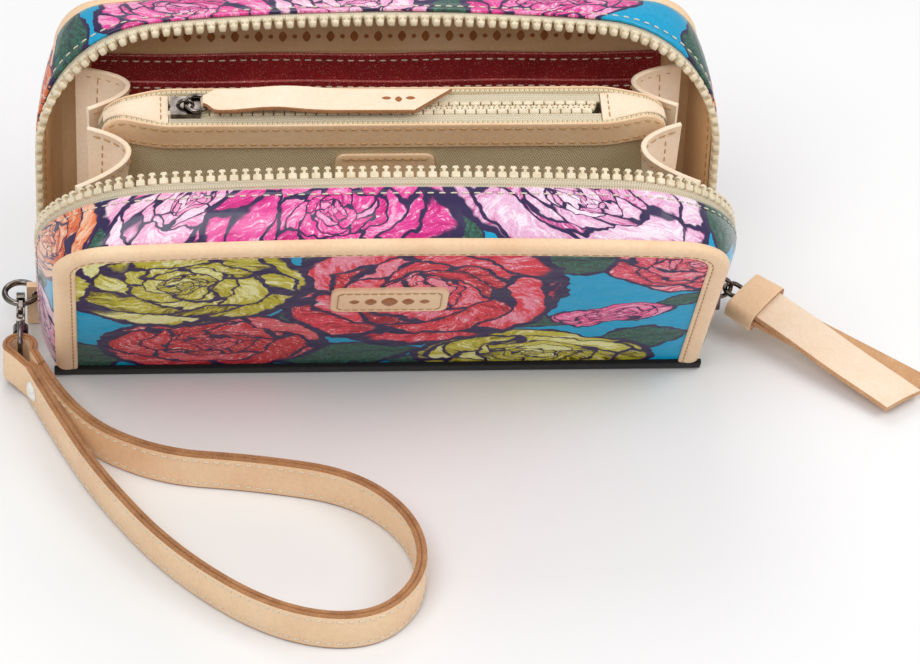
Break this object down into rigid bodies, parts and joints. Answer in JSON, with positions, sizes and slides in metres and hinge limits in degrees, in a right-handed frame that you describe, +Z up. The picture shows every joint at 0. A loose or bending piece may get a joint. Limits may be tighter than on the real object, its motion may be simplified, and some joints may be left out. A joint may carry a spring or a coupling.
{
  "type": "wristlet wallet",
  "caption": "Zip-around wristlet wallet standing open on its spine, with a floral coated shell, leather binding, bellows, zipped coin pocket, card slips, leather zip pull and wrist strap",
  "frame": {"origin": "centre of the spine's underside, on the surface that the wallet stands on", "axes": "+X to the wearer's right along the wallet, towards the main slider; +Y from the front cover to the back cover; +Z up, along the upright covers"},
  "size_m": [0.2892, 0.1849, 0.107],
  "materials": {
    "coated_print": "glossy coated floral print",
    "veg_leather": "natural vegetable-tanned, smooth, raw edges",
    "lining_twill": "matt twill",
    "zip_tape": "woven tape",
    "zip_plastic": "moulded acetal",
    "glitter_vinyl": "fine glitter vinyl",
    "dark_nickel": "polished gunmetal plating",
    "white_enamel": "satin enamel dome"
  },
  "bodies": {
    "root": {"spine": "coated_print", "coin_pocket_front": "lining_twill", "coin_pocket_back": "lining_twill", "pocket_base": "lining_twill", "coin_tape_front": "zip_tape", "coin_tape_back": "zip_tape", "coin_pocket_band": "veg_leather", "pocket_plate": "veg_leather", "coin_chain": "zip_plastic", "coin_tab_left": "veg_leather", "coin_tab_right": "veg_leather", "bellows_front_left": "veg_leather", "bellows_back_left": "veg_leather", "bellows_front_right": "veg_leather", "bellows_back_right": "veg_leather", "right_end_tab": "veg_leather", "left_end_tab": "veg_leather"},
    "front_cover": {"front_panel": "coated_print", "front_binding": "veg_leather", "front_gusset_strip": "coated_print", "front_zip_tape": "zip_tape", "front_strip_lining": "lining_twill", "front_lining": "lining_twill", "front_zip_teeth": "zip_plastic", "front_label": "veg_leather"},
    "back_cover": {"back_panel": "coated_print", "back_binding": "veg_leather", "back_gusset_strip": "coated_print", "back_zip_tape": "zip_tape", "back_strip_lining": "lining_twill", "back_lining": "lining_twill", "back_zip_teeth": "zip_plastic", "card_slip_1": "glitter_vinyl", "card_slip_2": "glitter_vinyl", "card_slip_3": "glitter_vinyl", "inner_band": "veg_leather"},
    "coin_slider": {"coin_slider": "dark_nickel"},
    "coin_pull": {"coin_pull_ring": "dark_nickel", "coin_pull": "veg_leather"},
    "zip_slider": {"zip_slider": "dark_nickel"},
    "zip_pull": {"pull_link": "dark_nickel", "pull_strip_upper": "veg_leather", "pull_strip_lower": "veg_leather", "pull_keeper": "veg_leather"},
    "ring": {"d_ring": "dark_nickel"},
    "clasp": {"clasp_hook": "dark_nickel", "gate_pin": "dark_nickel"},
    "gate": {"clasp_gate": "dark_nickel"},
    "clasp_eye": {"clasp_eye": "dark_nickel"},
    "strap": {"wrist_strap": "veg_leather", "strap_end_loop": "veg_leather", "strap_rivet": "white_enamel"}
  },
  "joints": [
    {"name": "front_cover_hinge", "type": "hinge", "parent": "root", "child": "front_cover", "pos_m": [0, -0.0233, 0], "axis": [1, 0, 0], "range_deg": [-27.75, 10], "deforming": ["bellows_front_left", "bellows_front_right"]},
    {"name": "back_cover_hinge", "type": "hinge", "parent": "root", "child": "back_cover", "pos_m": [0, 0.0233, 0], "axis": [-1, 0, 0], "range_deg": [-8.2, 22], "deforming": ["bellows_back_left", "bellows_back_right"]},
    {"name": "coin_slider_slide", "type": "slide", "parent": "root", "child": "coin_slider", "axis": [1, 0, 0], "range_m": [0, 0.115]},
    {"name": "coin_pull_hinge", "type": "hinge", "parent": "coin_slider", "child": "coin_pull", "pos_m": [-0.06, -0.00801, 0.0935], "axis": [0, -0.9962, -0.0872], "range_deg": [0, 140]},
    {"name": "zip_slider_slide", "type": "slide", "parent": "root", "child": "zip_slider", "axis": [0, 0, 1], "range_m": [0, 0.012]},
    {"name": "zip_pull_hinge", "type": "hinge", "parent": "zip_slider", "child": "zip_pull", "pos_m": [0.11081, 0.00103, 0.0115], "axis": [-0.6225, -0.7826, 0], "range_deg": [0, 70]},
    {"name": "ring_hinge", "type": "hinge", "parent": "root", "child": "ring", "pos_m": [-0.1057, 0, 0.012], "axis": [0, -1, 0], "range_deg": [0, 20]},
    {"name": "clasp_hinge", "type": "hinge", "parent": "ring", "child": "clasp", "pos_m": [-0.1107, -0.00501, 0.01213], "axis": [-1, 0, 0], "range_deg": [0, 20]},
    {"name": "gate_hinge", "type": "hinge", "parent": "clasp", "child": "gate", "pos_m": [-0.1107, -0.01274, 0.01363], "axis": [-1, 0, 0], "range_deg": [0, 18], "stiffness_Nm_per_rad": 0.02},
    {"name": "clasp_swivel", "type": "hinge", "parent": "clasp", "child": "clasp_eye", "pos_m": [-0.1107, -0.01666, 0.01028], "axis": [0, -0.9877, -0.1564], "range_deg": [0, 40]},
    {"name": "strap_swing", "type": "hinge", "parent": "clasp_eye", "child": "strap", "pos_m": [-0.1107, -0.02674, 0.009], "axis": [0, 0, -1], "range_deg": [-12, 80]}
  ]
}
